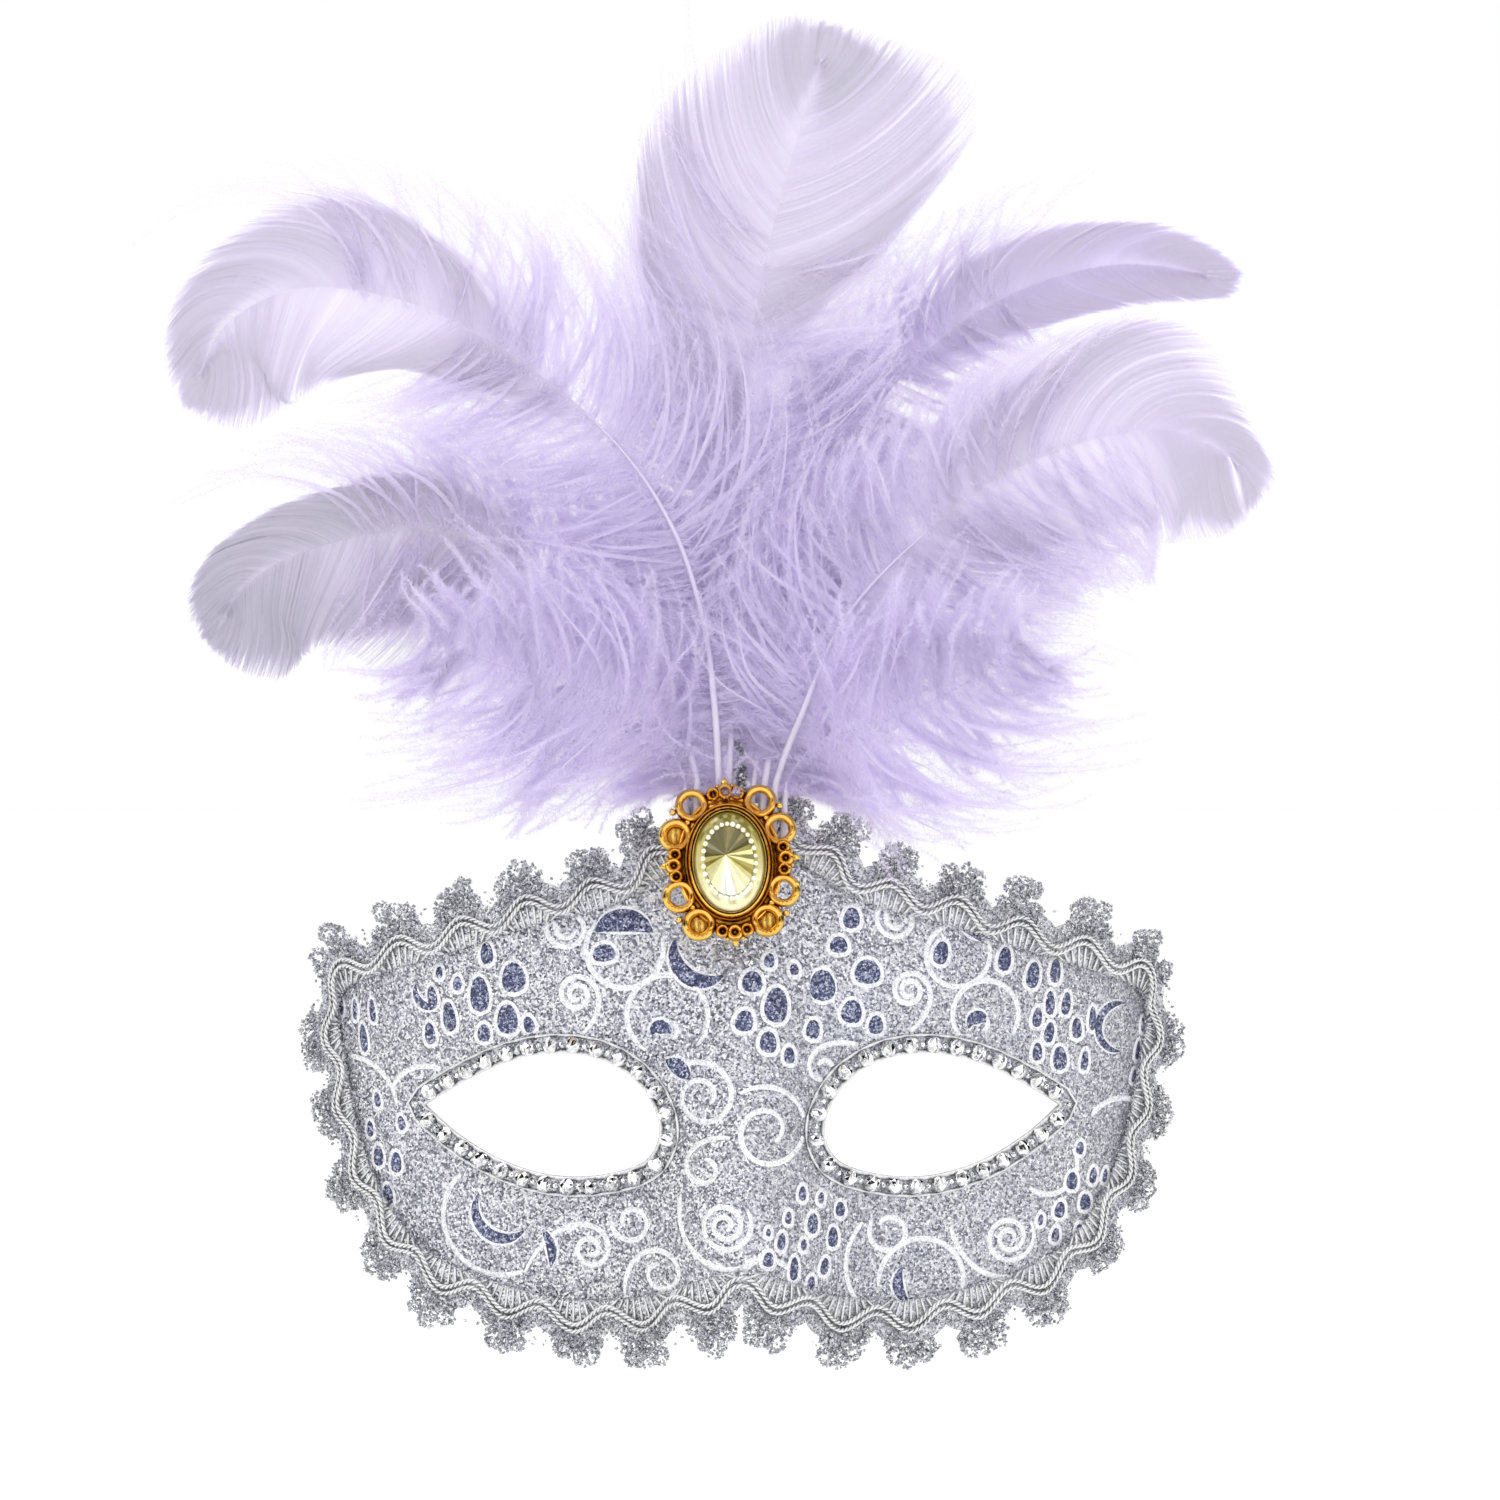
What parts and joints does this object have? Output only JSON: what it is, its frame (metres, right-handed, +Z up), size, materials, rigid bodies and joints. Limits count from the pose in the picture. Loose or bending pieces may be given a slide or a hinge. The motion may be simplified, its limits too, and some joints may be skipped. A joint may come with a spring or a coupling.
{
  "type": "masquerade half mask",
  "caption": "Glitter-covered masquerade half mask with a scalloped silver braid edge, beaded eye openings, a gold oval brooch and a fan of pale lavender plumes.",
  "frame": {"origin": "the inside of the nose bridge, where the mask rests on the wearer, midway between the eyes and level with them", "axes": "+Z up the wearer's face, -Y out of the front of the mask, +X to the viewer's right"},
  "size_m": [0.1949, 0.0659, 0.236],
  "materials": {
    "white_plastic": "moulded, satin inside",
    "glitter_cloth": "silver-grey glitter cloth with a raised scroll print",
    "silver_yarn": "metallic yarn",
    "silver_metal": "mirror-silver plated beads",
    "gold_metal": "polished gold plating",
    "yellow_gem": "clear pale yellow cast stone, foil backed",
    "hot_glue": "translucent glue",
    "feather_vane": "dyed pale lavender feather, soft and matt",
    "feather_quill": "satin quill"
  },
  "bodies": {
    "root": {"mask_shell": "white_plastic", "glitter_fabric": "glitter_cloth", "edge_braid": "silver_yarn", "inner_wave_cord": "silver_yarn", "outer_wave_cord": "silver_yarn", "eye_beads_left": "silver_metal", "eye_beads_right": "silver_metal", "brooch_frame": "gold_metal", "gem": "yellow_gem", "glue_pad": "hot_glue", "braid_tail": "silver_yarn", "quill_crown": "feather_quill", "vane_crown": "feather_vane", "quill_upper_left": "feather_quill", "vane_upper_left": "feather_vane", "quill_lower_left": "feather_quill", "vane_lower_left": "feather_vane", "quill_upper_right": "feather_quill", "vane_upper_right": "feather_vane", "quill_lower_right": "feather_quill", "vane_lower_right": "feather_vane", "quill_down_left": "feather_quill", "vane_down_left": "feather_vane", "quill_down_right": "feather_quill", "vane_down_right": "feather_vane", "quill_down_rear": "feather_quill", "vane_down_rear": "feather_vane"}
  },
  "joints": []
}
